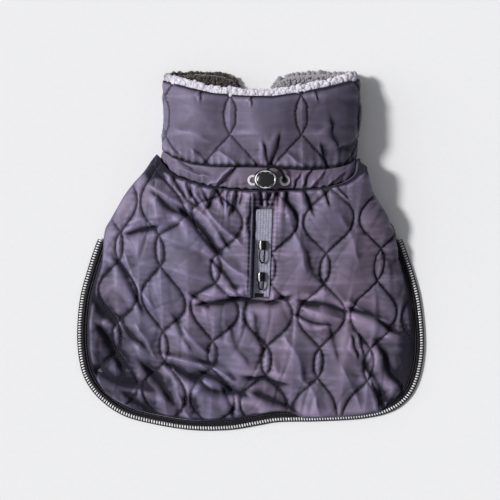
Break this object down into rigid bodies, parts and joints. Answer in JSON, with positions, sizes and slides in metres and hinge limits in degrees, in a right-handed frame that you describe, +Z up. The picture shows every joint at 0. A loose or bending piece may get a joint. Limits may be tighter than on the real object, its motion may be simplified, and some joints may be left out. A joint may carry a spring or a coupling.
{
  "type": "dog winter coat",
  "caption": "Quilted dog coat laid flat with its back up: fleece-lined stand collar open at the throat, drawstring neck band with a cord lock, short back zip and a rounded hem with bound edge.",
  "frame": {"origin": "centre of the bounding box, on the floor that the coat lies on", "axes": "+Y from the hem towards the neck, +X across the coat to the right seen from above, +Z up"},
  "size_m": [0.3473, 0.3598, 0.0612],
  "materials": {
    "nylon": "satin quilted nylon",
    "nylon_under": "satin nylon",
    "tape": "matt woven tape",
    "hook_loop": "hook and loop",
    "fleece": "curled pile",
    "ladder": "woven ladder trim",
    "zip_tape": "ribbed tape",
    "black": "glossy moulding",
    "metal": "bright metal",
    "cord": "braided cord"
  },
  "bodies": {
    "coat": {"back_panel": "nylon", "chest_wing_left": "nylon_under", "chest_wing_right": "nylon_under", "wing_binding_left": "tape", "wing_binding_right": "tape", "hook_patch": "hook_loop", "loop_patch": "hook_loop", "neck_band": "nylon", "collar_shell": "nylon", "collar_lining": "fleece", "edge_binding": "tape", "edge_piping": "ladder", "zip_welt": "nylon", "zip_tape": "zip_tape", "zip_stop": "black", "zip_slider_upper": "black", "zip_slider_lower": "black", "eyelet_left": "metal", "eyelet_right": "metal", "cord_lock_body": "black", "drawcord_right": "cord"},
    "pull_upper": {"zip_pull_upper": "black"},
    "pull_lower": {"zip_pull_lower": "black"},
    "plunger": {"cord_lock_plunger": "black"}
  },
  "joints": [
    {"name": "pull_upper_hinge", "type": "hinge", "parent": "coat", "child": "pull_upper", "pos_m": [0.0116, 0.0058, 0.04381], "axis": [-1, 0, 0], "range_deg": [0, 120]},
    {"name": "pull_lower_hinge", "type": "hinge", "parent": "coat", "child": "pull_lower", "pos_m": [0.0104, -0.0254, 0.03783], "axis": [-1, 0, 0], "range_deg": [0, 120]},
    {"name": "lock_press", "type": "slide", "parent": "coat", "child": "plunger", "axis": [-1, 0, 0], "range_m": [0, 0.002], "stiffness_N_per_m": 300, "springref_m": -0.002}
  ]
}
